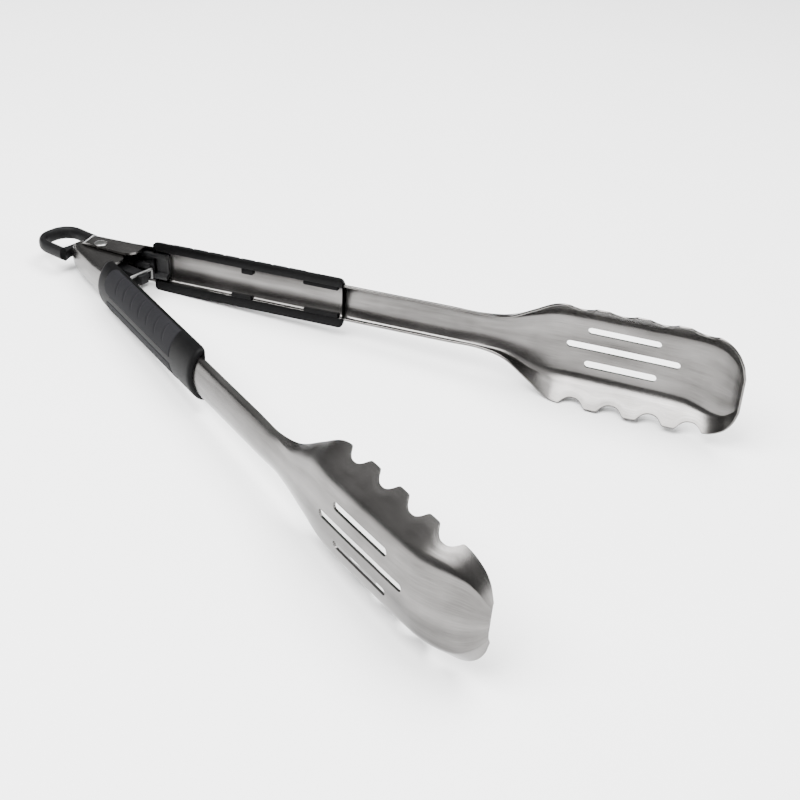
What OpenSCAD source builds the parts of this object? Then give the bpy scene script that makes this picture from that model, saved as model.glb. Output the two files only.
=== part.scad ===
// Spring-loaded locking kitchen tongs, 12 inch class.
// Two pressed steel arms turn on a rivet; a wound spring opens them and a pull tab locks them shut.
// Millimetres, Z up. The tongs lie on the floor with the heads toward +X and the pull tab toward -X.

/* [Arms] */
// Angle of each arm away from the middle plane when the tongs rest open, degrees
open_angle = 18.15; // [17:0.05:19]
// Thickness of the steel sheet, mm
sheet = 0.9; // [0.8:0.05:1]
// Half width of the channel of an arm, mm
channel_half = 7.85; // [7.8:0.05:7.9]
// Distance from the middle plane to the outer back face of a channel, mm
channel_back = 9.7; // [9.7:0.1:10]
// Distance from the middle plane to the free edges of a channel, mm
channel_rim = 5.6; // [5.4:0.05:5.6]
// Outer bend radius of the channel corners, mm
channel_bend = 2.2; // [2:0.1:2.3]
// Radius of the gently rounded back of the channels, mm
channel_crown = 13.5; // [13.5:0.5:16]

/* [Heads] */
// Half width of a head across the tops of the teeth, mm
head_half = 21.4; // [20:0.1:22]
// Depth of the bites between the teeth, measured along the side wall, mm
bite_depth = 3.7; // [2.5:0.1:4.5]
// Distance from one bite to the next, mm
bite_pitch = 14.93; // [14:0.01:15.5]
// Width of the drain slots, mm
slot_width = 2.8; // [2:0.1:3]
// Distance from the middle slot to each side slot, mm
slot_spacing = 7.2; // [6.5:0.1:7.4]

/* [Grips] */
// Where the grips start, measured along the arm from the rivet, mm
grip_start = 22; // [22:0.5:24]
// Where the grips end, measured along the arm from the rivet, mm
grip_end = 106.3; // [104:0.1:110]
// Half width of a grip, mm
grip_half = 10.8; // [10.6:0.1:11.4]
// Number of grooves in each soft pad
grooves = 7; // [5:1:8]

/* [Hinge and lock] */
// Radius of the rivet, mm
pin_r = 1.5; // [1.4:0.05:1.6]
// Diameter of the spring wire, mm
wire = 1.3; // [1.1:0.05:1.4]
// How far the pull tab slides out to lock, mm
tab_travel = 7; // [6.5:0.1:7]
// Radius of the lock wire, mm
lock_r = 0.65; // [0.55:0.05:0.7]

/* [Hidden] */
$fn = 64;
gap = 0.3;
fit = 0.05;
rest_tilt = -3.631;
lift = 9.322;
shift = -109.02;
ear_in_half = channel_half - sheet - gap;
nose = -12.3;
tip = 264.5;
lock_x = 24;
lock_y = 5.5;

// ---------- helpers ----------

// Resting pose of everything: tilted so grips and heads touch the floor
module place() {
    translate([shift, 0, lift])
        rotate([0, rest_tilt, 0])
            children();
}

// Arm space (x along the arm, y outward, z across) to the left or right side
module left_side() {
    place()
        rotate([0, 0, open_angle])
            children();
}

module right_side() {
    place()
        rotate([0, 0, -open_angle])
            mirror([0, 1, 0])
                children();
}

// Extrude a (y, z) section along x
module along_x(x0, x1) {
    translate([x0, 0, 0])
        rotate([90, 0, 90])
            linear_extrude(x1 - x0)
                children();
}

// Extrude an (x, z) outline along y
module along_y(y0, y1) {
    translate([0, y1, 0])
        rotate([90, 0, 0])
            linear_extrude(y1 - y0)
                children();
}

// Solid U outline: first axis outward, second axis across. The back is crowned, arcs lead into
// the side walls, and the open side is cut square at the rim
module u_outline(half, back, bend, crown, rim) {
    cz = half - bend;
    cy = back - crown + sqrt(pow(crown - bend, 2) - cz * cz) + 0.02;
    tz = cz * crown / (crown - bend);
    intersection() {
        union() {
            translate([rim - 2, -half])
                square([cy - rim + 2, 2 * half]);
            translate([rim - 2, -tz])
                square([back - rim + 3, 2 * tz]);
            for (s = [-1, 1])
                translate([cy, s * cz])
                    circle(bend);
        }
        translate([back - crown, 0])
            circle(crown);
        translate([rim, -half - 1])
            square([back - rim + 2, 2 * half + 2]);
    }
}

// ---------- pressed steel arm ----------

// Cubic curve through a short list of [position, value] knots
function slope(t, i) = let (a = max(i - 1, 0), b = min(i + 1, len(t) - 1))
    (t[b][1] - t[a][1]) / (t[b][0] - t[a][0]);
function cubic(t, i, x) = let (
        h = t[i + 1][0] - t[i][0],
        s = (x - t[i][0]) / h,
        m0 = slope(t, i) * h,
        m1 = slope(t, i + 1) * h)
    (2 * s * s * s - 3 * s * s + 1) * t[i][1] + (s * s * s - 2 * s * s + s) * m0
    + (3 * s * s - 2 * s * s * s) * t[i + 1][1] + (s * s * s - s * s) * m1;
function curve(t, x, i = 0) = x <= t[0][0] ? t[0][1]
    : i >= len(t) - 2 || x <= t[i + 1][0] ? cubic(t, min(i, len(t) - 2), min(x, t[len(t) - 1][0]))
    : curve(t, x, i + 1);

// Back face: rounded off at the nose; the head is a shallow bowl, then the tip curls in
back_line = [[-13, channel_back - 1.6], [-10, channel_back - 0.7], [-6, channel_back],
    [0, channel_back], [150, channel_back], [166, channel_back], [182, channel_back + 0.9],
    [198, channel_back + 1.4], [222, channel_back + 1.0], [243, channel_back + 0.2],
    [250, channel_back - 1.5], [256, channel_back - 4.3], [260.5, channel_back - 7.6],
    [263.3, channel_back - 10.4], [tip, channel_back - 12.2]];
// Free edge of the head
rim_line = [[150, channel_rim], [164, channel_rim], [182, 2.9], [196, 0.5], [208, 0.05],
    [240, 0.05], [250, -0.4], [258, -1.8], [262, -2.9], [tip, -3.4]];
// Half width at the free edge
half_line = [[150, channel_half], [164, channel_half], [174, channel_half + 1.6],
    [184, head_half - 6.2], [193, head_half - 1.0], [201, head_half], [242, head_half],
    [250, head_half - 0.6], [256, head_half - 2.1], [260.5, head_half - 5.3],
    [263.3, head_half - 9.9], [tip, head_half - 14.4]];
// Where the side wall, drawn on, would meet the back face
knee_line = [[150, channel_half], [164, channel_half], [182, 10.4], [198, 12.6], [242, 12.8],
    [252, 12.8], [258, 11.4], [262, 8.5], [tip, 5]];
// Radius of the bend between back and side wall
bend_line = [[0, 3.6], [17, 3.6], [21.5, channel_bend], [26, channel_bend],
    [150, channel_bend], [166, channel_bend], [184, 5.5], [200, 8], [240, 8],
    [252, 6.5], [259, 3.0], [263, 0.8], [tip, 0.3]];
// Radius of the crowned back
crown_line = [[150, channel_crown], [166, channel_crown], [184, 30], [200, 60], [tip, 60]];

first_bite = 202.8;
bites = 4;
// Bites are rounded arches with flat teeth between them
function bite(x) = x < first_bite - bite_pitch / 2 || x > first_bite + (bites - 0.5) * bite_pitch ? 0
    : let (
        off = abs(x - first_bite - bite_pitch * round((x - first_bite) / bite_pitch)),
        h = 1 - pow(off / 5, 2.4))
    bite_depth * (h + sqrt(h * h + 0.02)) / 2;

// Channel half width near the rivet: the right arm nests inside the left one
function blend(t) = t <= 0 ? 0 : t >= 1 ? 1 : t * t * (3 - 2 * t);
function channel_w(x, inner) = inner + (channel_half - inner) * blend((x - 20) / 11);

crown_steps = 4;
bend_steps = 5;
wall_steps = 2;
half_steps = crown_steps + bend_steps + wall_steps;

// Half section at x, worked out once per station: [back, crown, bend, corner centre, angles, wall]
function shape(x, inner) = let (
        back = curve(back_line, x),
        rim = x < 42 ? -5.5 : curve(rim_line, x),
        a = x < 100 ? channel_w(x, inner) : curve(half_line, x),
        c = x < 100 ? a : curve(knee_line, x),
        bend = curve(bend_line, x),
        crown = curve(crown_line, x),
        wall = sqrt(pow(back - rim, 2) + pow(c - a, 2)),
        dy = (back - rim) / wall,
        dz = (c - a) / wall,
        // corner centre: on a line `bend` inside the wall, `crown - bend` from the crown centre
        py = rim + bend * dz - (back - crown),
        pz = a - bend * dy,
        along = py * dy + pz * dz,
        t = -along + sqrt(along * along - (py * py + pz * pz) + pow(crown - bend, 2)),
        cy = py + t * dy,
        cz = pz + t * dz)
    [back - crown, crown, bend, cy + back - crown, cz, atan2(cz, cy), atan2(dy, -dz), t, dy, dz,
        rim, a];

// Point j of the half section: [y, z]
function section(f, x, j) =
    j <= crown_steps ? let (q = f[5] * j / crown_steps) [f[0] + f[1] * cos(q), f[1] * sin(q)]
    : j <= crown_steps + bend_steps
        ? let (q = f[5] + (f[6] - f[5]) * (j - crown_steps) / bend_steps)
            [f[3] + f[2] * cos(q), f[4] + f[2] * sin(q)]
    : let (d = f[7] - (f[7] - bite(x)) * (j - crown_steps - bend_steps) / wall_steps)
        [f[10] + d * f[8], f[11] + d * f[9]];

function skin_row(x, inner) = let (f = shape(x, inner))
    [for (j = [-half_steps:half_steps]) let (p = section(f, x, abs(j))) [x, p[0], sign(j) * p[1]]];

stations = concat([nose - 0.7, -11, -9, -6, 0, 17, 18.5, 20, 21.5],
    [for (x = [23:2:31]) x], [41.9, 42, 78, 114, 150, 158],
    [for (x = [164:3:194]) x], [for (x = [195.4:1.2:246]) x], [for (x = [247.4:1.3:258]) x],
    [for (x = [259:0.8:263.2]) x], [263.9, tip]);

function unit(v) = v / norm(v);

// Sheet metal arm, made from an outer skin and an inner skin one sheet thickness inside it
module arm_sheet(inner) {
    n = len(stations);
    m = 2 * half_steps + 1;
    outer = [for (x = stations) skin_row(x, inner)];
    inside = [for (i = [0:n - 1]) [for (j = [0:m - 1])
        let (
            i0 = max(i - 1, 0), i1 = min(i + 1, n - 1),
            j0 = max(j - 1, 0), j1 = min(j + 1, m - 1),
            du = i == 0 || stations[i] < 60 ? [1, 0, 0] : outer[i1][j] - outer[i0][j],
            dw = outer[i][j1] - outer[i][j0])
        outer[i][j] - sheet * unit(cross(dw, du))]];
    points = concat([for (r = outer) each r], [for (r = inside) each r]);
    o = n * m;
    faces = concat(
        [for (i = [0:n - 2]) for (j = [0:m - 2]) let (a = i * m + j) each
            [[a, a + m, a + 1], [a + 1, a + m, a + m + 1],
            [o + a, o + a + 1, o + a + m], [o + a + 1, o + a + m + 1, o + a + m]]],
        [for (i = [0:n - 2]) let (a = i * m) each
            [[a, o + a, a + m], [a + m, o + a, o + a + m]]],
        [for (i = [0:n - 2]) let (a = i * m + m - 1) each
            [[a, a + m, o + a], [a + m, o + a + m, o + a]]],
        [for (j = [0:m - 2]) each
            [[j, j + 1, o + j], [j + 1, o + j + 1, o + j]]],
        [for (j = [0:m - 2]) let (a = (n - 1) * m + j) each
            [[a, o + a, a + 1], [a + 1, o + a, o + a + 1]]]);
    polyhedron(points = points, faces = faces, convexity = 8);
}

// Side view of the ears around the rivet; everything below the channel rim outside it is trimmed
module ear_trim() {
    linear_extrude(40, center = true)
        difference() {
            translate([nose - 3, -14])
                square([46 - nose, 14 + channel_rim]);
            polygon([[nose - 4, 0.3], [nose, -0.3], [-6.5, -1.75], [11.95, -3.96],
                [12.6, 1], [17.6, 1], [17.6, 9], [nose - 4, 9]]);
            translate([12.6, 1])
                circle(5);
        }
}

// Rounded nose seen from the back
module nose_trim() {
    along_y(-14, 14)
        difference() {
            translate([nose - 3, -14])
                square([3 + 8.2, 28]);
            translate([nose + 8.2, 0])
                circle(8.2);
        }
}

module slot(x0, x1, z) {
    r = slot_width / 2;
    translate([x0 + r, 0, z - r])
        cube([x1 - x0 - 2 * r, 20, 2 * r]);
    for (x = [x0 + r, x1 - r])
        translate([x, 0, z])
            rotate([-90, 0, 0])
                cylinder(h = 20, r = r);
}

module arm(inner) {
    difference() {
        arm_sheet(inner);
        ear_trim();
        nose_trim();
        slot(196.5, 240.1, 0);
        for (s = [-1, 1])
            slot(204.2, 232.1, s * slot_spacing);
        cylinder(h = 40, r = pin_r + fit, center = true);
    }
}

module left_arm() {
    color("Silver")
        left_side()
            arm(channel_half);
}

module right_arm() {
    color("Silver")
        right_side()
            arm(ear_in_half);
}

// ---------- grips ----------

grip_back = channel_back + 1.7;
grip_rim = 4.4;
grip_bend = 3.6;
grip_crown = 14;
pad_depth = 1.1;
pad_start = 29;
pad_end = 90;
pad_rim = 5.4;
spine = 1.25;

// Rounded ends of a grip seen from the side
module grip_side() {
    r = 3;
    translate([grip_start + r, grip_rim - 1])
        square([grip_end - grip_start - 2 * r, 20]);
    translate([grip_start, grip_rim - 1])
        square([grip_end - grip_start, grip_back - grip_rim + 1 - r]);
    for (x = [grip_start + r, grip_end - r])
        translate([x, grip_back - r])
            circle(r);
}

// Rounded ends of a grip seen from the back
module grip_plan() {
    r = 4;
    translate([grip_start + r, -20])
        square([grip_end - grip_start - 2 * r, 40]);
    translate([grip_start, -(grip_half - r)])
        square([grip_end - grip_start, 2 * (grip_half - r)]);
    for (x = [grip_start + r, grip_end - r])
        for (s = [-1, 1])
            translate([x, s * (grip_half - r)])
                circle(r);
}

module grip_body(grow = 0) {
    intersection() {
        along_x(grip_start - 1, grip_end + 1)
            u_outline(grip_half + grow, grip_back + grow, grip_bend + grow, grip_crown + grow,
                grip_rim);
        linear_extrude(40, center = true)
            grip_side();
        along_y(-2, 20)
            grip_plan();
    }
}

// Block that a pad fills: the outer layer of the grip, either side of a thin spine
module pad_zone(side, extra) {
    intersection() {
        difference() {
            along_x(grip_start - 2, grip_end + 2)
                u_outline(grip_half + 2, grip_back + 2, grip_bend + 2, grip_crown + 2, pad_rim - extra);
            along_x(grip_start - 3, grip_end + 3)
                u_outline(grip_half - pad_depth - extra, grip_back - pad_depth - extra,
                    grip_bend - pad_depth, grip_crown - pad_depth, grip_rim - 3);
        }
        linear_extrude(60, center = true) {
            translate([pad_start + 6.5 - extra, 8])
                circle(6.5);
            translate([pad_start + 6.5 - extra, -2])
                square([pad_end - pad_start - 6.5 + 2 * extra, 20]);
        }
        translate([0, -5, side > 0 ? spine - extra : -20 - spine + extra])
            cube([grip_end + 5, 25, 20]);
    }
}

// Inside of the shell: the channel it is pushed over
module channel_room() {
    along_x(grip_start - 5, grip_end + 5)
        u_outline(channel_half + fit, channel_back + fit, channel_bend + fit,
            channel_crown + fit, channel_rim - fit);
    // open side of the channel
    translate([grip_start - 5, -3, -(channel_half - 1)])
        cube([grip_end - grip_start + 10, channel_rim + 4.2, 2 * (channel_half - 1)]);
}

// Tabs that clip round the channel edges inside
module grip_tabs() {
    inner = channel_half - sheet - fit;
    for (s = [-1, 1])
        translate([grip_end - 17, grip_rim + 0.2, s > 0 ? inner - 1.6 : -inner - 0.9])
            cube([15, channel_rim - grip_rim + 1.2, 2.5]);
    translate([57, grip_rim + 0.2, -inner - 0.9])
        cube([9, channel_rim - grip_rim + 1.0, 2.5]);
    translate([62, grip_rim + 0.2, inner - 2.4])
        cube([5, channel_rim - grip_rim + 1.6, 3.3]);
}

// Sheet metal of the channel, used to keep the tabs clear of it
module channel_metal() {
    along_x(grip_start - 5, grip_end + 5)
        difference() {
            u_outline(channel_half + fit, channel_back + fit, channel_bend + fit,
                channel_crown + fit, channel_rim - fit);
            u_outline(channel_half - sheet - fit, channel_back - sheet - fit,
                channel_bend - sheet - fit, channel_crown - sheet - fit, channel_rim - 4);
        }
}

module grip_shell() {
    difference() {
        union() {
            difference() {
                grip_body();
                channel_room();
            }
            difference() {
                grip_tabs();
                channel_metal();
            }
        }
        for (s = [-1, 1])
            pad_zone(s, 0.02);
    }
}

// Soft pad with shallow curved grooves on its side face
module pad(side) {
    first = pad_start + 9;
    step = (pad_end - pad_start - 14) / grooves;
    difference() {
        intersection() {
            grip_body(0.15);
            pad_zone(side, 0);
        }
        for (i = [0:grooves - 1])
            translate([first + i * step + 6, 8, side > 0 ? grip_half - 0.35 : -grip_half - 2.65])
                intersection() {
                    difference() {
                        cylinder(h = 3, r = 7.9);
                        translate([0, 0, -1])
                            cylinder(h = 5, r = 7.1);
                    }
                    translate([-9, -2.2, -1])
                        cube([6, 4.2, 6]);
                }
    }
}

module left_grip() {
    color("DimGray")
        left_side()
            grip_shell();
}

module right_grip() {
    color("DimGray")
        right_side()
            grip_shell();
}

module left_upper_pad() {
    color("SlateGray")
        left_side()
            pad(1);
}

module left_lower_pad() {
    color("SlateGray")
        left_side()
            pad(-1);
}

module right_upper_pad() {
    color("SlateGray")
        right_side()
            pad(1);
}

module right_lower_pad() {
    color("SlateGray")
        right_side()
            pad(-1);
}

// ---------- hinge ----------

bush_r = pin_r + 0.75;
bush_half = ear_in_half - sheet - 0.15;

module hinge_pin() {
    reach = channel_half + 0.1;
    color("LightSteelBlue")
        place() {
            cylinder(h = 2 * reach, r = pin_r, center = true);
            for (s = [-1, 1])
                translate([0, 0, s * (reach + 0.3)])
                    cylinder(h = 0.6, r = pin_r + 1.2, center = true);
        }
}

module hinge_bush() {
    color("Gainsboro")
        place()
            difference() {
                cylinder(h = 2 * bush_half, r = bush_r, center = true);
                cylinder(h = 4 * bush_half, r = pin_r + 0.02, center = true);
            }
}

coil_r = bush_r + 0.35 + wire / 2;

// Round wire along a list of points
module bent_wire(path, d) {
    sides = 8;
    n = len(path);
    rings = [for (i = [0:n - 1])
        let (
            t = unit(path[min(i + 1, n - 1)] - path[max(i - 1, 0)]),
            a = unit(cross(t, abs(t[2]) < 0.9 ? [0, 0, 1] : [1, 0, 0])),
            b = cross(t, a))
        [for (k = [0:sides - 1]) let (q = 360 * k / sides)
            path[i] + d / 2 * (cos(q) * a + sin(q) * b)]];
    polyhedron(
        points = [for (r = rings) each r],
        faces = concat(
            [for (i = [0:n - 2]) for (k = [0:sides - 1])
                let (p = i * sides + k, q = i * sides + (k + 1) % sides) each
                [[p, p + sides, q], [q, p + sides, q + sides]]],
            [[for (k = [0:sides - 1]) k]],
            [[for (k = [sides - 1:-1:0]) (n - 1) * sides + k]]),
        convexity = 10);
}

// One wound spring: a leg to each arm and a coil round the bush, beside the pull tab
module wound_spring() {
    z0 = 2.3 + wire / 2;
    z1 = bush_half - wire / 2;
    leg = [11.4, 5.2];
    reach = norm(leg);
    side = atan2(leg[1], leg[0]) + open_angle;
    start = side + acos(coil_r / reach);
    sweep = 720 - 2 * start;
    coil = [for (i = [0:36]) let (q = start + sweep * i / 36)
        [coil_r * cos(q), coil_r * sin(q), z0 + (z1 - z0) * i / 36]];
    bent_wire(concat([[reach * cos(side), reach * sin(side), z0]], coil,
        [[reach * cos(side), -reach * sin(side), z1]]), wire);
}

module hinge_springs() {
    color("WhiteSmoke")
        place() {
            wound_spring();
            mirror([0, 0, 1])
                wound_spring();
        }
}

// ---------- pull tab and lock ----------

tab_half = 1.9;
slot_half = bush_r + gap;
loop_tip = -32.5;
loop_side = 8.6;
loop_bend = 7.4;
loop_rise = 1.6;

// Rounded bar section of the hanging loop
module loop_bar() {
    square([3.4, 2.1], center = true);
    for (s = [-1, 1])
        translate([0, s * 1.05])
            circle(1.7);
}

module straight_bar(size) {
    rotate([90, 0, 0])
        linear_extrude(size, center = true)
            loop_bar();
}

// Hanging loop: a rounded bar round the end, open toward the noses
module hanging_loop() {
    straight = 2 * (loop_side - loop_bend);
    translate([loop_tip, 0, 0])
        straight_bar(straight);
    for (s = [-1, 1]) {
        translate([(loop_tip + loop_bend - 12) / 2, s * loop_side, 0])
            rotate([0, 0, 90])
                straight_bar(-12 - loop_tip - loop_bend);
        translate([loop_tip + loop_bend, s * straight / 2, 0])
            rotate([0, 0, s > 0 ? 90 : 180])
                rotate_extrude(angle = 90)
                    translate([loop_bend, 0])
                        loop_bar();
    }
}

module pull_tab() {
    color("DimGray")
        place()
            difference() {
                union() {
                    translate([0, 0, loop_rise])
                        hanging_loop();
                    // web between the sides of the loop
                    translate([-19.5, -loop_side, -tab_half])
                        cube([7.5, 2 * loop_side, 2 * tab_half]);
                    // slide
                    translate([-18, -4, -tab_half])
                        cube([30, 8, 2 * tab_half]);
                    translate([10, -2.4, -tab_half])
                        cube([lock_x - 7.8, 4.8, 2 * tab_half]);
                }
                // clearance for the two noses as they swing
                difference() {
                    cylinder(h = 14, r = 16, center = true);
                    translate([-20, -2.7, -8])
                        cube([60, 5.4, 16]);
                    translate([-5, -4, -8])
                        cube([40, 8, 16]);
                }
                // slot for the bush
                for (x = [0, tab_travel])
                    translate([x, 0, -5])
                        cylinder(h = 10, r = slot_half);
                translate([0, -slot_half, -5])
                    cube([tab_travel, 2 * slot_half, 10]);
                // groove for the lock wire
                translate([lock_x, 0, tab_half + 0.2])
                    rotate([90, 0, 0])
                        cylinder(h = 10, r = lock_r + 0.02, center = true);
            }
}

// Bent lock wire: lies across the slide, its two legs stand beside it
module lock_pin() {
    top = tab_half + 0.2;
    color("LightSteelBlue")
        place()
            translate([lock_x, 0, 0]) {
                translate([0, 0, top])
                    rotate([90, 0, 0])
                        cylinder(h = 2 * lock_y, r = lock_r, center = true);
                for (s = [-1, 1]) {
                    translate([0, s * lock_y, top])
                        sphere(lock_r);
                    translate([0, s * lock_y, -top])
                        cylinder(h = 2 * top, r = lock_r);
                }
            }
}

// Plastic seat in the channel: carries the hook that catches the lock wire when the arms are shut
module seat() {
    play = 0.08;
    hook_x = lock_x - tab_travel + 0.1;
    hook_y = lock_y - 0.3;
    mouth = lock_r + 0.35;
    difference() {
        along_x(12.5, 27.5)
            u_outline(ear_in_half - sheet - play, channel_back - sheet - play,
                2.7, channel_crown - sheet - play, 4.4);
        // trough for the wire
        translate([12, 4, -3.6])
            cube([16, 2.4, 7.2]);
    }
    difference() {
        translate([hook_x - 3.4, hook_y - mouth - 1.2, -1.1])
            cube([6.6, 3.8, 2.2]);
        translate([hook_x, hook_y, -2])
            cylinder(h = 4, r = mouth);
        translate([hook_x, hook_y - mouth, -2])
            cube([10, 2 * mouth, 4]);
    }
}

module left_seat() {
    color("DimGray")
        left_side()
            seat();
}

module right_seat() {
    color("DimGray")
        right_side()
            seat();
}

// ---------- output ----------

left_arm();
right_arm();
left_grip();
right_grip();
left_upper_pad();
left_lower_pad();
right_upper_pad();
right_lower_pad();
hinge_pin();
hinge_bush();
hinge_springs();
pull_tab();
lock_pin();
left_seat();
right_seat();
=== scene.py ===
"""Looks of the locking kitchen tongs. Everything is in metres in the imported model's frame;
the shape functions work in millimetres in arm space (x along the arm from the rivet,
y outward, z across) and are turned into the frame at the end."""
import math
import bmesh
import bpy
import numpy as np
from mathutils import Matrix, Vector


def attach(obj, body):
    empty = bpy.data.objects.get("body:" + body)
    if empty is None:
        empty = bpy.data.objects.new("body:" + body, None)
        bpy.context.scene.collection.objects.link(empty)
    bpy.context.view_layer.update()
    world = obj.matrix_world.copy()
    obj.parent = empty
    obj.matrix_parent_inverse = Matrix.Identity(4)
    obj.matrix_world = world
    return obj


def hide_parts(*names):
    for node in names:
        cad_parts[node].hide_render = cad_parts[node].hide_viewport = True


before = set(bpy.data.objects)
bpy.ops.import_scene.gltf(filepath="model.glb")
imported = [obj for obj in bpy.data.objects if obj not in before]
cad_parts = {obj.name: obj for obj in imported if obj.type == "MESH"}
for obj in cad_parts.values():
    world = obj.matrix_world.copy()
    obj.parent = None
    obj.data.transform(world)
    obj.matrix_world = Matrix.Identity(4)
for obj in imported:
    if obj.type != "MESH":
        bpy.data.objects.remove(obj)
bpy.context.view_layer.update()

# ---------------------------------------------------------------- shared dimensions, mm
OPEN = math.radians(18.15)
TILT = math.radians(-3.631)
LIFT = 9.322
SHIFT = -109.02
SHEET = 0.9
HALF = 7.85
BACK = 9.7
RIM = 5.6
BEND = 2.2
NOSE_BEND = 3.6
CROWN = 13.5
HEAD = 21.4
BITE = 3.7
PITCH = 14.93
BITES = 4
FIRST = 202.8
NOSE = -12.3
TIP = 264.5
INNER_HALF = HALF - SHEET - 0.3
PIN_R = 1.5
TRAVEL = 7
NOSE_R = 8.2
SLOT_R = 1.4
SLOT_SPACING = 7.2


def place(p):
    """Hinge space in mm, X toward the heads and Z along the rivet, to the frame in metres."""
    p = np.asarray(p, float).reshape(-1, 3)
    c, s = math.cos(TILT), math.sin(TILT)
    x = p[:, 0] * c + p[:, 2] * s + SHIFT
    z = -p[:, 0] * s + p[:, 2] * c + LIFT
    return np.stack([x, p[:, 1], z], 1) * 0.001


def arm_place(side):
    """Arm space to the frame for the left (+1) or right (-1) arm."""
    def go(p):
        p = np.asarray(p, float).reshape(-1, 3)
        c, s = math.cos(OPEN), math.sin(OPEN)
        q = np.stack([p[:, 0] * c - p[:, 1] * s, side * (p[:, 0] * s + p[:, 1] * c), p[:, 2]], 1)
        return place(q)
    return go


# ---------------------------------------------------------------- mesh helpers

def mesh_object(name, verts, faces, uvs=None, smooth=True, sharp=None):
    me = bpy.data.meshes.new(name)
    me.from_pydata([tuple(v) for v in verts], [], [tuple(f) for f in faces])
    if uvs is not None:
        layer = me.uv_layers.new(name="run")
        idx = np.empty(len(me.loops), int)
        me.loops.foreach_get("vertex_index", idx)
        layer.data.foreach_set("uv", np.asarray(uvs, float)[idx].ravel())
    obj = bpy.data.objects.new(name, me)
    bpy.context.scene.collection.objects.link(obj)
    bm = bmesh.new()
    bm.from_mesh(me)
    bmesh.ops.recalc_face_normals(bm, faces=bm.faces)
    bm.to_mesh(me)
    bm.free()
    me.polygons.foreach_set("use_smooth", [smooth] * len(me.polygons))
    if sharp is not None:
        me.set_sharp_from_angle(angle=math.radians(sharp))
    me.update()
    return obj


def grid_faces(n, m, wrap=False, start=0):
    out = []
    for i in range(n - 1):
        for j in range(m if wrap else m - 1):
            a = start + i * m + j
            b = start + i * m + (j + 1) % m
            out.append((a, b, b + m, a + m))
    return out


def loft(name, rings, to_frame, uvs=None, **kw):
    """Closed rings of equal length, joined into a tube with flat ends."""
    rings = np.asarray(rings, float)
    n, m = rings.shape[:2]
    verts = to_frame(rings.reshape(-1, 3))
    faces = grid_faces(n, m, wrap=True)
    faces.append(tuple(range(m - 1, -1, -1)))
    faces.append(tuple((n - 1) * m + j for j in range(m)))
    return mesh_object(name, verts, faces, uvs, **kw)


def apply_modifiers(obj):
    dg = bpy.context.evaluated_depsgraph_get()
    me = bpy.data.meshes.new_from_object(obj.evaluated_get(dg))
    old = obj.data
    obj.modifiers.clear()
    obj.data = me
    bpy.data.meshes.remove(old)


def bevel(obj, width_mm, segments=3, angle=35, sharp=40):
    mod = obj.modifiers.new("edge", "BEVEL")
    mod.width = width_mm * 0.001
    mod.segments = segments
    mod.limit_method = "ANGLE"
    mod.angle_limit = math.radians(angle)
    mod.use_clamp_overlap = True
    apply_modifiers(obj)
    obj.data.polygons.foreach_set("use_smooth", [True] * len(obj.data.polygons))
    obj.data.set_sharp_from_angle(angle=math.radians(sharp))


def cut(obj, cutters, sharp=38):
    for c in cutters:
        mod = obj.modifiers.new("cut", "BOOLEAN")
        mod.operation = "DIFFERENCE"
        mod.solver = "EXACT"
        mod.object = c
        apply_modifiers(obj)
        me = c.data
        bpy.data.objects.remove(c)
        bpy.data.meshes.remove(me)
    obj.data.polygons.foreach_set("use_smooth", [True] * len(obj.data.polygons))
    obj.data.set_sharp_from_angle(angle=math.radians(sharp))


def prism(name, outline, a, b, axes, to_frame):
    """A 2D outline pushed from a to b; axes says which arm-space axes the outline and the push use."""
    pts = []
    for t in (a, b):
        for p in outline:
            q = [0.0, 0.0, 0.0]
            q[axes[0]], q[axes[1]], q[axes[2]] = p[0], p[1], t
            pts.append(q)
    n = len(outline)
    faces = [tuple(range(n)), tuple(range(2 * n - 1, n - 1, -1))]
    faces += [(i, (i + 1) % n, n + (i + 1) % n, n + i) for i in range(n)]
    return mesh_object(name, to_frame(pts), faces, smooth=False)


def arc(cx, cy, r, a0, a1, n):
    return [(cx + r * math.cos(math.radians(a0 + (a1 - a0) * i / n)),
             cy + r * math.sin(math.radians(a0 + (a1 - a0) * i / n))) for i in range(n + 1)]


# ---------------------------------------------------------------- the pressed arm

def curve(table, x):
    i = 0
    while i < len(table) - 2 and x > table[i + 1][0]:
        i += 1
    x = min(max(x, table[0][0]), table[-1][0])

    def slope(k):
        a, b = max(k - 1, 0), min(k + 1, len(table) - 1)
        return (table[b][1] - table[a][1]) / (table[b][0] - table[a][0])
    h = table[i + 1][0] - table[i][0]
    s = (x - table[i][0]) / h
    return ((2 * s**3 - 3 * s * s + 1) * table[i][1] + (s**3 - 2 * s * s + s) * slope(i) * h
            + (3 * s * s - 2 * s**3) * table[i + 1][1] + (s**3 - s * s) * slope(i + 1) * h)


BACK_LINE = [(-13, BACK - 1.6), (-10, BACK - 0.7), (-6, BACK), (0, BACK), (150, BACK), (166, BACK),
             (182, BACK + 0.9), (198, BACK + 1.4), (222, BACK + 1.0), (243, BACK + 0.2),
             (250, BACK - 1.5), (256, BACK - 4.3), (260.5, BACK - 7.6), (263.3, BACK - 10.4),
             (TIP, BACK - 12.2)]
RIM_LINE = [(150, RIM), (164, RIM), (182, 2.9), (196, 0.5), (208, 0.05), (240, 0.05), (250, -0.4),
            (258, -1.8), (262, -2.9), (TIP, -3.4)]
HALF_LINE = [(150, HALF), (164, HALF), (174, HALF + 1.6), (184, HEAD - 6.2), (193, HEAD - 1.0),
             (201, HEAD), (242, HEAD), (250, HEAD - 0.6), (256, HEAD - 2.1), (260.5, HEAD - 5.3),
             (263.3, HEAD - 9.9), (TIP, HEAD - 14.4)]
KNEE_LINE = [(150, HALF), (164, HALF), (182, 10.4), (198, 12.6), (242, 12.8), (252, 12.8),
             (258, 11.4), (262, 8.5), (TIP, 5)]
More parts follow.
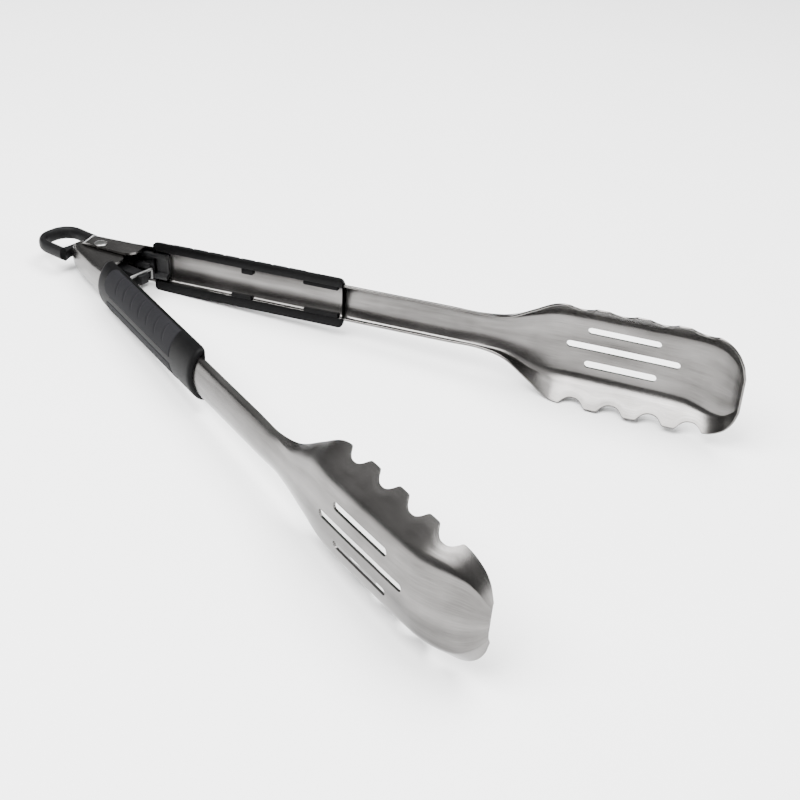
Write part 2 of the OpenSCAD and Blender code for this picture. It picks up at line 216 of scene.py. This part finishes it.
BEND_LINE = [(0, NOSE_BEND), (17, NOSE_BEND), (21.5, BEND), (26, BEND), (150, BEND), (166, BEND),
             (184, 5.5), (200, 8), (240, 8), (252, 6.5), (259, 3.0), (263, 0.8), (TIP, 0.3)]
CROWN_LINE = [(150, CROWN), (166, CROWN), (184, 30), (200, 60), (TIP, 60)]


def bite(x):
    if x < FIRST - PITCH / 2 or x > FIRST + (BITES - 0.5) * PITCH:
        return 0.0
    off = abs(x - FIRST - PITCH * round((x - FIRST) / PITCH))
    h = 1 - (off / 5) ** 2.4
    return BITE * (h + math.sqrt(h * h + 0.02)) / 2


def blend(t):
    t = min(max(t, 0.0), 1.0)
    return t * t * (3 - 2 * t)


CROWN_N, BEND_N, WALL_N = 10, 12, 9


def half_section(x, inner):
    """Points of the outer skin from the middle of the back to the free edge: [(y, z)].
    A crowned back, a corner arc tangent to it, then a straight wall."""
    back = curve(BACK_LINE, x)
    rim = -5.5 if x < 42 else curve(RIM_LINE, x)
    if x < 100:
        a = c = inner + (HALF - inner) * blend((x - 20) / 11)
    else:
        a, c = curve(HALF_LINE, x), curve(KNEE_LINE, x)
    bend, crown = curve(BEND_LINE, x), curve(CROWN_LINE, x)
    wall = math.hypot(back - rim, c - a)
    dy, dz = (back - rim) / wall, (c - a) / wall
    py, pz = rim + bend * dz - (back - crown), a - bend * dy
    al = py * dy + pz * dz
    t = -al + math.sqrt(al * al - (py * py + pz * pz) + (crown - bend) ** 2)
    cy, cz = py + t * dy, pz + t * dz
    q0, q1 = math.atan2(cz, cy), math.atan2(dy, -dz)
    pts = [(back - crown + crown * math.cos(q0 * j / CROWN_N), crown * math.sin(q0 * j / CROWN_N))
           for j in range(CROWN_N)]
    for j in range(BEND_N):
        q = q0 + (q1 - q0) * j / BEND_N
        pts.append((cy + back - crown + bend * math.cos(q), cz + bend * math.sin(q)))
    for j in range(WALL_N + 1):
        d = t - (t - bite(x)) * j / WALL_N
        pts.append((rim + d * dy, a + d * dz))
    return pts


def stations():
    xs = [NOSE - 0.7, -12.2, -11.4, -10.6, -9.8, -9, -8, -7, -6, -4, 0, 6, 12, 20]
    xs += list(np.arange(21, 32, 1.0)) + [36, 41.9, 42.0]
    xs += list(np.arange(46, 160, 4.0))
    xs += list(np.arange(160, 194, 1.0))
    xs += list(np.arange(194, 256, 0.5))
    xs += list(np.arange(256, 263.9, 0.35)) + [264.0, 264.25, TIP]
    return xs


def build_arm(name, side, inner):
    xs = stations()
    outer = []
    for x in xs:
        h = half_section(x, inner)
        row = [(x, y, -z) for y, z in reversed(h[1:])] + [(x, y, z) for y, z in h]
        outer.append(row)
    outer = np.array(outer)
    n, m = outer.shape[:2]
    du = np.gradient(outer, axis=0)
    dw = np.gradient(outer, axis=1)
    for i, x in enumerate(xs):
        if x < 60:
            du[i] = (1, 0, 0)
    nrm = np.cross(dw, du)
    nrm /= np.linalg.norm(nrm, axis=2, keepdims=True)
    inside = outer - SHEET * nrm
    # rounded free edges: three in-between points pushed out past the straight edge
    def edge(col, nxt):
        out = outer[:, col] - outer[:, nxt]
        out /= np.linalg.norm(out, axis=1, keepdims=True)
        a, b = outer[:, col], inside[:, col]
        return [a + (b - a) * 0.2 + out * 0.16, a + (b - a) * 0.5 + out * 0.22,
                a + (b - a) * 0.8 + out * 0.16]
    e1 = edge(m - 1, m - 2)
    e0 = edge(0, 1)
    ring = np.concatenate([outer, np.stack(e1, 1), inside[:, ::-1], np.stack(e0[::-1], 1)], 1)
    k = ring.shape[1]
    run = np.concatenate([[0], np.cumsum(np.linalg.norm(np.diff(outer[:, m // 2], axis=0), axis=1))])
    acr = np.concatenate([[0], np.cumsum(np.linalg.norm(np.diff(ring[n // 2], axis=0), axis=1))])
    uvs = np.stack(np.meshgrid(run, acr, indexing="ij"), 2).reshape(-1, 2) * 0.001
    obj = loft(name, ring, arm_place(side), uvs=uvs, sharp=40)
    go = arm_place(side)
    ear = [(NOSE - 4, 0.3), (NOSE, -0.3), (-6.5, -1.75)] + \
        arc(12.6, 1, 5, 262.6, 360, 24) + [(17.6, RIM)]
    trim = ear + [(46, RIM), (46, -14), (NOSE - 4, -14)]
    cutters = [prism("ear_cut", trim, -20, 20, (0, 1, 2), go)]
    nose_x = NOSE + NOSE_R
    nose = [(NOSE - 4, -14), (NOSE - 4, 14), (nose_x, 14)] + arc(nose_x, 0, NOSE_R, 90, 270, 40) + \
        [(nose_x, -14)]
    cutters.append(prism("nose_cut", nose, -14, 14, (0, 2, 1), go))
    for x0, x1, z in ((196.5, 240.1, 0), (204.2, 232.1, SLOT_SPACING),
                      (204.2, 232.1, -SLOT_SPACING)):
        o = arc(x1 - SLOT_R, z, SLOT_R, -90, 90, 16) + arc(x0 + SLOT_R, z, SLOT_R, 90, 270, 16)
        cutters.append(prism("slot_cut", o, 4, 20, (0, 2, 1), go))
    cutters.append(prism("rivet_cut", arc(0, 0, PIN_R + 0.05, 0, 352.5, 47), -20, 20, (0, 1, 2), go))
    cut(obj, cutters)
    return obj


# ---------------------------------------------------------------- grips

GS, GE = 22.0, 106.3
GH, GB, GR, GBEND, GCROWN = 10.8, 11.4, 4.4, 3.6, 14.0
PAD0, PAD1, PADR = 29.0, 90.0, 6.5
SPINE = 1.25
G_CZ = GH - GBEND
G_CY = GB - GCROWN + math.sqrt((GCROWN - GBEND) ** 2 - G_CZ ** 2)
G_Q = math.atan2(G_CZ, G_CY - GB + GCROWN)
L_CROWN = GCROWN * G_Q
L_ARC = GBEND * (math.pi / 2 - G_Q)
L_SIDE = G_CY - GR
S_PAD = L_CROWN + GBEND * (math.acos((5.4 - G_CY) / GBEND) - G_Q)
S_END = L_CROWN + L_ARC + L_SIDE


def grip_point(x, s, off):
    """Point of the grip's outer face: s is the signed distance round the section from the
    middle of the back, off lifts it along its normal."""
    q, a = (1 if s >= 0 else -1), abs(s)
    end = min(x - GS, GE - x)
    ease = 0.0
    if end < 2.2:
        ease = 1.1 * (1 - math.sqrt(max(0.0, 1 - ((2.2 - max(end, 0)) / 2.2) ** 2)))
    off = off - ease
    if a <= L_CROWN:
        t = a / GCROWN
        y, z = GB - GCROWN + GCROWN * math.cos(t), GCROWN * math.sin(t)
    elif a <= L_CROWN + L_ARC:
        t = G_Q + (a - L_CROWN) / GBEND
        y, z = G_CY + GBEND * math.cos(t), G_CZ + GBEND * math.sin(t)
    else:
        t = math.pi / 2
        y, z = G_CY - (a - L_CROWN - L_ARC), GH
    return (x, y + math.cos(t) * off, q * (z + math.sin(t) * off))


def pad_start_at(s):
    mid, half = (SPINE + S_PAD) / 2, (S_PAD - SPINE) / 2
    q = min(1.0, abs(abs(s) - mid) / half)
    return PAD0 + PADR * (1 - (1 - q ** 2.6) ** (1 / 2.6))


def build_shell(name, side):
    """Hard shell: U section with recesses for the soft pads and lips round the channel edges."""
    depth = 1.0
    def span(a, b, n):
        return list(np.linspace(a, b, n))
    # distance round the section, and whether it lies in a pad recess
    half_cols = [(s, False) for s in span(0, SPINE, 4)] + \
        [(s, True) for s in span(SPINE, S_PAD, 34)] + [(s, False) for s in span(S_PAD, S_END - 0.01, 4)]
    cols = [(-s, f) for s, f in reversed(half_cols[1:])] + half_cols
    tl = [("a", t, False) for t in (0, 0.06, 0.14, 0.24, 0.36, 0.55, 0.78, 1)]
    tl += [("b", t, True) for t in np.linspace(0, 1, 40)]
    tl += [("c", t, False) for t in (0, 0.25, 0.5, 0.7, 0.84, 0.9, 0.94, 0.97, 1)]
    rings = []
    for kind, t, padrow in tl:
        ring = []
        for s, padcol in cols:
            b = pad_start_at(s) if abs(s) >= SPINE else PAD0 + PADR
            if abs(s) > S_PAD:
                b = PAD0 + PADR
            x = {"a": GS + (b - GS) * t, "b": b + (PAD1 - b) * t,
                 "c": PAD1 + (GE - PAD1) * t}[kind]
            ring.append(grip_point(x, s, -depth if padrow and padcol else 0.0))
        xm = ring[-1][0]
        x0 = ring[0][0]
        end = min(xm - GS, GE - xm)
        e = 0.0 if end > 1.2 else 1.2 - max(end, 0)
        rim, lip = GR + 0.25 * e, HALF - SHEET
        def inner(sgn, x):
            return [(x, rim + 0.12, sgn * (GH - 0.35 - 0.5 * e)), (x, rim, sgn * (GH - 0.8 - 0.5 * e)),
                    (x, rim, sgn * (lip + 0.5)), (x, rim + 0.3, sgn * lip),
                    (x, RIM - 0.06, sgn * (lip + 0.02)), (x, RIM - 0.06, sgn * (HALF + 0.05))]
        cav = [(y + 0.05, z + 0.05) for y, z in reversed(half_section(70, HALF)[1:CROWN_N + BEND_N])]
        tail = inner(1, xm) + [(xm, y, z) for y, z in cav] + \
            [(x0, y, -z) for y, z in reversed(cav)] + inner(-1, x0)[::-1]
        rings.append(ring + tail)
    return loft(name, rings, arm_place(side), sharp=38)


def groove(x, a):
    """Depth of the finger grooves of a pad at distance x along it and a round it, mm."""
    mid = L_CROWN - 1.6
    d = 0.0
    for i in range(7):
        gx = PAD0 + 10.0 + 7.1 * i
        q = (a - mid) / 4.6
        if abs(q) < 1:
            line = gx + 1.7 * q * q
            e = (x - line) / 0.52
            fade = (1 - q * q) ** 0.6
            d += 0.34 * math.exp(-e * e) * fade
    return d


def build_pad(name, side, q):
    """Soft pad on one flank: a closed block in the recess, crowned a little, with fine grooves."""
    gap = 0.05
    s0, s1 = SPINE + gap, S_PAD - gap
    ns, nx = 58, 190
    def lift(x, a, b0):
        e = min(a - s0, s1 - a, x - b0, PAD1 - gap - x)
        e = max(e, 0.0)
        r = 0.45
        drop = 0 if e > r else r - math.sqrt(max(0.0, r * r - (r - e) ** 2))
        return 0.14 - drop
    top, floor = [], []
    for i in range(nx):
        t = i / (nx - 1)
        rt, rf = [], []
        for j in range(ns):
            u = j / (ns - 1)
            a = s0 + (s1 - s0) * u
            b0 = pad_start_at(a) + gap
            x = b0 + (PAD1 - gap - b0) * t
            rt.append(grip_point(x, q * a, lift(x, a, b0) - groove(x, a)))
            rf.append(grip_point(x, q * a, -0.98))
        top.append(rt)
        floor.append(rf)
    top, floor = np.array(top), np.array(floor)
    rings = np.concatenate([top, floor[:, ::-1]], 1)
    return loft(name, rings, arm_place(side), sharp=50)


def box_piece(name, lo, hi, to_frame, width=0.3, segments=2):
    (x0, y0, z0), (x1, y1, z1) = lo, hi
    v = [(x, y, z) for x in (x0, x1) for y in (y0, y1) for z in (z0, z1)]
    f = [(0, 1, 3, 2), (4, 6, 7, 5), (0, 4, 5, 1), (2, 3, 7, 6), (0, 2, 6, 4), (1, 5, 7, 3)]
    obj = mesh_object(name, to_frame(v), f)
    bevel(obj, width, segments)
    return obj


# ---------------------------------------------------------------- hinge, springs, tab, lock

WIRE_R = 0.65
BUSH_HALF = INNER_HALF - SHEET - 0.15
COIL_R = PIN_R + 0.75 + 0.35 + WIRE_R
LOCK_X, LOCK_Y, LOCK_R, TAB_HALF = 24.0, 5.5, 0.65, 1.9


def sweep(name, path, section, to_frame, up=(0, 0, 1)):
    """A closed section [(side, up)] carried along a path; ends are capped."""
    path = np.asarray(path, float)
    rings = []
    for i in range(len(path)):
        t = path[min(i + 1, len(path) - 1)] - path[max(i - 1, 0)]
        t = t / np.linalg.norm(t)
        u = np.asarray(up, float)
        u = u - t * u.dot(t)
        u /= np.linalg.norm(u)
        w = np.cross(t, u)
        rings.append([path[i] + w * a + u * b for a, b in section])
    return loft(name, rings, to_frame, sharp=45)


def round_section(r, n=14):
    return [(r * math.cos(2 * math.pi * k / n), r * math.sin(2 * math.pi * k / n)) for k in range(n)]


def spring_parts(sign):
    """Coil path and the two straight legs of one wound spring, in hinge space."""
    z0, z1 = sign * (2.3 + WIRE_R), sign * (BUSH_HALF - WIRE_R)
    lx, ly = 11.4, 5.2
    reach = math.hypot(lx, ly)
    side = math.atan2(ly, lx) + OPEN
    start = side + math.acos(COIL_R / reach)
    turn = 4 * math.pi - 2 * start
    coil = [(COIL_R * math.cos(start + turn * i / 90), COIL_R * math.sin(start + turn * i / 90),
             z0 + (z1 - z0) * i / 90) for i in range(91)]
    tip = (reach * math.cos(side), reach * math.sin(side))
    def leg(a, b, z):
        a, b = np.array((a[0], a[1], z)), np.array((b[0], b[1], z))
        d = (b - a) / np.linalg.norm(b - a)
        return [a - d * 0.02, a + d * 0.5, b - d * 0.5, b]
    return coil, leg(coil[0], tip, z0), leg(coil[-1], (tip[0], -tip[1]), z1)


def lathe(name, profile, to_frame, n=48):
    """Profile [(radius, z)] turned round the rivet axis; a zero radius closes an end."""
    rings = [[(r * math.cos(2 * math.pi * k / n), r * math.sin(2 * math.pi * k / n), z)
              for k in range(n)] for r, z in profile]
    return loft(name, rings, to_frame, sharp=35)


def build_loop():
    """Hanging loop of the pull tab: a tall rounded bar bent round the end."""
    side, bend, tip, rise = 8.6, 7.4, -32.5, 1.6
    path = [(x, side, rise) for x in np.linspace(-14.4, tip + bend, 9)]
    path += [(x, y, rise) for x, y in arc(tip + bend, side - bend, bend, 90, 180, 18)[1:]]
    path += [(x, y, rise) for x, y in arc(tip + bend, bend - side, bend, 180, 270, 18)]
    path += [(x, -side, rise) for x in np.linspace(tip + bend, -14.4, 9)[1:]]
    sec = []
    for k in range(28):
        q = 2 * math.pi * k / 28
        c, s_ = math.cos(q), math.sin(q)
        sec.append((1.7 * math.copysign(abs(c) ** 0.9, c), 2.75 * math.copysign(abs(s_) ** 0.9, s_)))
    return sweep("pull_loop", path, sec, place)


def build_slide():
    """Flat slide of the pull tab, with the slot that runs over the bush."""
    o = [(-20.2, 8.0), (-19.2, 6.2), (-18.7, 3), (-18.7, -3), (-19.2, -6.2), (-20.2, -8.0)]
    o += [(-14.2, -8.0)]
    o += [(16.1 * math.cos(math.radians(q)), 16.1 * math.sin(math.radians(q)))
          for q in np.linspace(209, 189.8, 8)]
    o += [(-5.4, -2.7), (-4.9, -4), (11.4, -4), (12.6, -2.4), (25.6, -2.4), (26.2, -1.8)]
    o += [(x, -y) for x, y in reversed(o[6:])][:-1] + [(-14.2, 8.0)]
    obj = prism("pull_slide", o, -TAB_HALF, TAB_HALF, (0, 1, 2), place)
    slot = arc(0, 0, PIN_R + 1.05, 90, 270, 20) + arc(TRAVEL, 0, PIN_R + 1.05, -90, 90, 20)
    cut(obj, [prism("c", slot, -5, 5, (0, 1, 2), place)])
    bevel(obj, 0.35, 3)
    return obj


def build_lock():
    """Bent lock wire: across the slide, legs standing beside it."""
    top, r = TAB_HALF + 0.2, 0.5
    path = [(LOCK_X, LOCK_Y, -top), (LOCK_X, LOCK_Y, -top + 0.4), (LOCK_X, LOCK_Y, top - r)]
    path += [(LOCK_X, LOCK_Y - r + r * math.cos(q), top - r + r * math.sin(q))
             for q in np.linspace(0, math.pi / 2, 8)[1:]]
    path += [(LOCK_X, -y, z) for x, y, z in reversed(path)]
    return sweep("lock_wire", path, round_section(LOCK_R), place, up=(1, 0, 0))


def build_seat(name, side):
    """Black insert in the channel with a trough for the lock wire and a hook that catches it."""
    go = arm_place(side)
    play = 0.08
    half, back = INNER_HALF - SHEET - play, BACK - SHEET - play
    bend, crown = NOSE_BEND - SHEET, CROWN - SHEET - play
    cz = half - bend
    cy = back - crown + math.sqrt((crown - bend) ** 2 - cz * cz)
    q0 = math.atan2(cz, cy - back + crown)
    pts = [(back - crown + crown * math.cos(q0 * j / 8), crown * math.sin(q0 * j / 8)) for j in range(8)]
    pts += [(cy + bend * math.cos(q0 + (math.pi / 2 - q0) * j / 6),
             cz + bend * math.sin(q0 + (math.pi / 2 - q0) * j / 6)) for j in range(7)]
    pts += [(4.4, half), (4.4, 3.6), (6.4, 3.6)]
    outline = pts + [(y, -z) for y, z in reversed(pts[1:])]
    obj = prism(name, outline, 12.5, 27.5, (1, 2, 0), go)
    bevel(obj, 0.25, 2, angle=50)
    finish(obj, SEAT, "left_half" if side > 0 else "right_half", "seat_plastic",
           ("left" if side > 0 else "right") + "_seat")
    hx, hy, m = LOCK_X - TRAVEL + 0.1, LOCK_Y - 0.3, LOCK_R + 0.35
    o = [(hx - 3.4, hy - m - 1.2), (hx + 3.2, hy - m - 1.2), (hx + 3.2, hy - m)]
    o += arc(hx, hy, m, 270, 90, 16)
    o += [(hx + 3.2, hy + m), (hx + 3.2, 6.9), (hx - 3.4, 6.9)]
    hook = prism(name + "_hook", o, -1.1, 1.1, (0, 1, 2), go)
    bevel(hook, 0.2, 2, angle=50)
    finish(hook, SEAT, "left_half" if side > 0 else "right_half", "seat_plastic")


# ---------------------------------------------------------------- materials

def new_material(name):
    mat = bpy.data.materials.new(name)
    mat.use_nodes = True
    nt = mat.node_tree
    nt.nodes.clear()
    out = nt.nodes.new("ShaderNodeOutputMaterial")
    bsdf = nt.nodes.new("ShaderNodeBsdfPrincipled")
    nt.links.new(bsdf.outputs[0], out.inputs[0])
    return mat, nt, bsdf


def node(nt, kind, **props):
    n = nt.nodes.new(kind)
    for k, v in props.items():
        if k.startswith("_"):
            n.inputs[k[1:].replace("_", " ")].default_value = v
        else:
            setattr(n, k, v)
    return n


def noise(nt, vec, scale, detail=3.0, rough=0.5, stretch=None):
    if stretch:
        mp = node(nt, "ShaderNodeMapping")
        mp.inputs["Scale"].default_value = stretch
        nt.links.new(vec, mp.inputs["Vector"])
        vec = mp.outputs["Vector"]
    n = node(nt, "ShaderNodeTexNoise")
    n.inputs["Scale"].default_value = scale
    n.inputs["Detail"].default_value = detail
    n.inputs["Roughness"].default_value = rough
    nt.links.new(vec, n.inputs["Vector"])
    return n.outputs["Fac"]


def ramp(nt, fac, a, b, p0=0.3, p1=0.7):
    r = node(nt, "ShaderNodeValToRGB")
    r.color_ramp.elements[0].position = p0
    r.color_ramp.elements[1].position = p1
    r.color_ramp.elements[0].color = (*a, 1) if len(a) == 3 else a
    r.color_ramp.elements[1].color = (*b, 1) if len(b) == 3 else b
    nt.links.new(fac, r.inputs[0])
    return r.outputs[0]


def to_range(nt, fac, lo, hi):
    m = node(nt, "ShaderNodeMapRange")
    m.inputs["To Min"].default_value = lo
    m.inputs["To Max"].default_value = hi
    nt.links.new(fac, m.inputs["Value"])
    return m.outputs["Result"]


def bump(nt, bsdf, height, strength, dist):
    b = node(nt, "ShaderNodeBump")
    b.inputs["Strength"].default_value = strength
    b.inputs["Distance"].default_value = dist
    nt.links.new(height, b.inputs["Height"])
    nt.links.new(b.outputs["Normal"], bsdf.inputs["Normal"])


def steel_sheet():
    mat, nt, b = new_material("brushed_sheet_and_painted_reflection")
    uv = node(nt, "ShaderNodeUVMap", uv_map="run").outputs["UV"]
    co = node(nt, "ShaderNodeTexCoord").outputs["Object"]
    grain = noise(nt, uv, 1.0, 4, 0.6, stretch=(90, 5200, 1))
    # broad cloudy blotches in the base colour and roughness: painted reflection, dark and bright patches
    # placed at random
    painted_reflection_cloud = noise(nt, co, 55, 4, 0.6)
    b.inputs["Metallic"].default_value = 1.0
    b.inputs["Anisotropic"].default_value = 0.45
    # broad lengthwise bands in the base colour and roughness: painted reflection streaks
    painted_reflection_streak = noise(nt, uv, 1.0, 2, 0.5, stretch=(18, 110, 1))
    fine = node(nt, "ShaderNodeMix", data_type="FLOAT")
    fine.inputs["Factor"].default_value = 0.45
    nt.links.new(grain, fine.inputs[2])
    nt.links.new(painted_reflection_cloud, fine.inputs[3])
    mix = node(nt, "ShaderNodeMix", data_type="FLOAT")
    mix.inputs["Factor"].default_value = 0.5
    nt.links.new(fine.outputs[0], mix.inputs[2])
    nt.links.new(painted_reflection_streak, mix.inputs[3])
    # base colour: the fine brushed grain is the steel's own, the blotches and bands mixed into it are
    # painted reflection
    col = ramp(nt, mix.outputs[0], (0.06, 0.0575, 0.055), (0.185, 0.179, 0.174), 0.37, 0.63)
    nt.links.new(col, b.inputs["Base Color"])
    nt.links.new(to_range(nt, mix.outputs[0], 0.16, 0.34), b.inputs["Roughness"])
    bump(nt, b, grain, 0.18, 0.00004)
    return mat


def plain_steel(name, rough0=0.18, rough1=0.34, tone=1.0):
    mat, nt, b = new_material(name)
    co = node(nt, "ShaderNodeTexCoord").outputs["Object"]
    f = noise(nt, co, 900, 3, 0.6)
    b.inputs["Metallic"].default_value = 1.0
    lo, hi = 0.42 * tone, 0.58 * tone
    nt.links.new(ramp(nt, f, (lo, lo, lo * 0.98), (hi, hi, hi * 0.98)), b.inputs["Base Color"])
    nt.links.new(to_range(nt, f, rough0, rough1), b.inputs["Roughness"])
    bump(nt, b, f, 0.1, 0.00003)
    return mat


def moulded(name, dark, light, rough0, rough1, grain=1500, strength=0.12, dist=0.00004, spec=0.5,
            sheen=0.0):
    mat, nt, b = new_material(name)
    co = node(nt, "ShaderNodeTexCoord").outputs["Object"]
    fine = noise(nt, co, grain, 2, 0.5)
    big = noise(nt, co, 60, 3, 0.5)
    mix = node(nt, "ShaderNodeMix", data_type="FLOAT")
    mix.inputs["Factor"].default_value = 0.5
    nt.links.new(fine, mix.inputs[2])
    nt.links.new(big, mix.inputs[3])
    nt.links.new(ramp(nt, mix.outputs[0], dark, light, 0.3, 0.7), b.inputs["Base Color"])
    nt.links.new(to_range(nt, mix.outputs[0], rough0, rough1), b.inputs["Roughness"])
    b.inputs["Specular IOR Level"].default_value = spec
    b.inputs["Sheen Weight"].default_value = sheen
    b.inputs["Sheen Roughness"].default_value = 0.5
    bump(nt, b, fine, strength, dist)
    return mat


STEEL = steel_sheet()
WIRE = plain_steel("spring_wire", 0.15, 0.28)
RIVET = plain_steel("rivet_steel", 0.24, 0.4, 0.5)
LOCKW = plain_steel("lock_wire_steel", 0.3, 0.45, 0.3)
SHELL = moulded("grip_shell_plastic", (0.0015, 0.0015, 0.0016), (0.0035, 0.0035, 0.0037), 0.4, 0.55,
                spec=0.06)
PAD = moulded("soft_pad", (0.0075, 0.0075, 0.0086), (0.0115, 0.0114, 0.0127), 0.62, 0.78, grain=2600,
              strength=0.25, dist=0.00006, spec=0.06)
TAB = moulded("tab_plastic", (0.003, 0.003, 0.0032), (0.0065, 0.0065, 0.0069), 0.42, 0.55, spec=0.08)
SEAT = moulded("seat_plastic", (0.004, 0.004, 0.0042), (0.009, 0.009, 0.0095), 0.35, 0.5, spec=0.3)
BUSH = moulded("bush_plastic", (0.05, 0.05, 0.05), (0.08, 0.08, 0.08), 0.4, 0.5)


def finish(obj, mat, body, slot, *nodes):
    obj.data.materials.clear()
    obj.data.materials.append(mat)
    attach(obj, body)
    if nodes:
        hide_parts(*nodes)
    return obj


# ---------------------------------------------------------------- pieces

for side, word, body, inner in ((1, "left", "left_half", HALF), (-1, "right", "right_half", INNER_HALF)):
    go = arm_place(side)
    finish(build_arm(word + "_steel_arm", side, inner), STEEL, body, "steel", word + "_arm")
    finish(build_shell(word + "_grip_shell", side), SHELL, body, "grip_plastic", word + "_grip")
    for q, lvl in ((1, "upper"), (-1, "lower")):
        finish(build_pad(f"{word}_{lvl}_soft_pad", side, q), PAD, body, "pad_rubber",
               f"{word}_{lvl}_pad")
    lip = HALF - SHEET - 0.05
    for i, (x0, x1, h, z0, z1) in enumerate((
            (GE - 17, GE - 2, 7.0, lip - 1.6, lip), (GE - 17, GE - 2, 7.0, -lip, -lip + 1.6),
            (57, 66, 6.8, -lip, -lip + 1.6), (62, 67, 7.4, lip - 2.4, lip))):
        clip = box_piece(f"{word}_grip_clip_{i + 1}", (x0, GR + 0.2, z0), (x1, h, z1), go, 0.35, 3)
        finish(clip, SHELL, body, "grip_plastic")
    build_seat(f"{word}_lock_seat", side)

head = [(0.02, 8.52), (1.3, 8.5), (2.0, 8.4), (2.5, 8.22), (2.68, 8.05), (2.68, 7.96), (1.5, 7.95)]
finish(lathe("rivet", head + [(r, -z) for r, z in reversed(head)], place), RIVET, "hinge_core",
       "pin_steel", "hinge_pin")
tube = [(1.52, BUSH_HALF), (2.05, BUSH_HALF), (2.25, BUSH_HALF - 0.2), (2.25, 0.2 - BUSH_HALF),
        (2.05, -BUSH_HALF), (1.52, -BUSH_HALF)]
finish(lathe("rivet_bush", tube, place), BUSH, "hinge_core", "bush_plastic", "hinge_bush")
for sign, lvl in ((1, "upper"), (-1, "lower")):
    coil, leg_l, leg_r = spring_parts(sign)
    finish(sweep(f"spring_coil_{lvl}", coil, round_section(WIRE_R), place), WIRE, "hinge_core",
           "spring_steel", *(["hinge_springs"] if sign > 0 else []))
    finish(sweep(f"spring_left_leg_{lvl}", leg_l, round_section(WIRE_R), place), WIRE, "left_half",
           "spring_steel")
    finish(sweep(f"spring_right_leg_{lvl}", leg_r, round_section(WIRE_R), place), WIRE,
           "right_half", "spring_steel")
finish(build_loop(), TAB, "tab", "tab_plastic", "pull_tab")
finish(build_slide(), TAB, "tab", "tab_plastic")
finish(build_lock(), LOCKW, "tab", "pin_steel", "lock_pin")

# ---------------------------------------------------------------- floor, light, camera

floor = bpy.data.meshes.new("floor")
floor.from_pydata([(-4, -4, 0), (4, -4, 0), (4, 4, 0), (-4, 4, 0)], [], [(0, 1, 2, 3)])
floor_obj = bpy.data.objects.new("floor", floor)
bpy.context.scene.collection.objects.link(floor_obj)
mat, nt, b = new_material("floor_paper")
co = node(nt, "ShaderNodeTexCoord").outputs["Object"]
nt.links.new(ramp(nt, noise(nt, co, 8, 2), (0.93, 0.93, 0.93), (0.95, 0.95, 0.95)), b.inputs["Base Color"])
b.inputs["Roughness"].default_value = 0.9
floor.materials.append(mat)

world = bpy.data.worlds.new("studio")
bpy.context.scene.world = world
world.use_nodes = True
bg = world.node_tree.nodes["Background"]
bg.inputs["Strength"].default_value = 0.7
wt = world.node_tree
sky = wt.nodes.new("ShaderNodeTexCoord").outputs["Generated"]
part = wt.nodes.new("ShaderNodeSeparateXYZ")
wt.links.new(sky, part.inputs[0])
wt.links.new(ramp(wt, part.outputs["Z"], (0.12, 0.12, 0.12), (0.9, 0.9, 0.9), 0.0, 0.75),
             bg.inputs["Color"])


def area(name, loc, target, size, power):
    d = bpy.data.lights.new(name, "AREA")
    d.energy = power
    d.size = size
    o = bpy.data.objects.new(name, d)
    bpy.context.scene.collection.objects.link(o)
    o.location = loc
    v = Vector(target) - Vector(loc)
    o.rotation_euler = v.to_track_quat("-Z", "Y").to_euler()


area("key", (-0.1, -0.5, 0.9), (0, 0, 0), 0.7, 34)
area("top", (0.1, 0.3, 1.1), (0, 0, 0), 0.8, 30)
area("side", (0.9, 0.3, 0.5), (0, 0, 0), 0.5, 6)

cam_data = bpy.data.cameras.new("camera")
cam = bpy.data.objects.new("camera", cam_data)
bpy.context.scene.collection.objects.link(cam)
cam_data.sensor_width = 36
cam_data.lens = 56.25
cam_data.clip_start = 0.01
psi, elev, roll = math.radians(-36.84), math.radians(31.47), math.radians(2.57)
fw = Vector((math.sin(psi) * math.cos(elev), math.cos(psi) * math.cos(elev), -math.sin(elev)))
rt = Vector((math.cos(psi), -math.sin(psi), 0))
up = rt.cross(fw)
r2 = rt * math.cos(roll) + up * math.sin(roll)
u2 = -rt * math.sin(roll) + up * math.cos(roll)
# before the tilt, in mm: the point looked at and how far back the camera stands from it
look_at, distance = Vector((161.9, -4.5, 0)), 436.7
spot = look_at - fw * distance
tilt = Matrix.Rotation(TILT, 3, "Y")
r2, u2, f2 = tilt @ r2, tilt @ u2, tilt @ fw
spot = (tilt @ spot + Vector((SHIFT, 0, LIFT))) * 0.001
cam.matrix_world = Matrix((
    (r2.x, u2.x, -f2.x, spot.x), (r2.y, u2.y, -f2.y, spot.y), (r2.z, u2.z, -f2.z, spot.z),
    (0, 0, 0, 1)))
bpy.context.scene.camera = cam
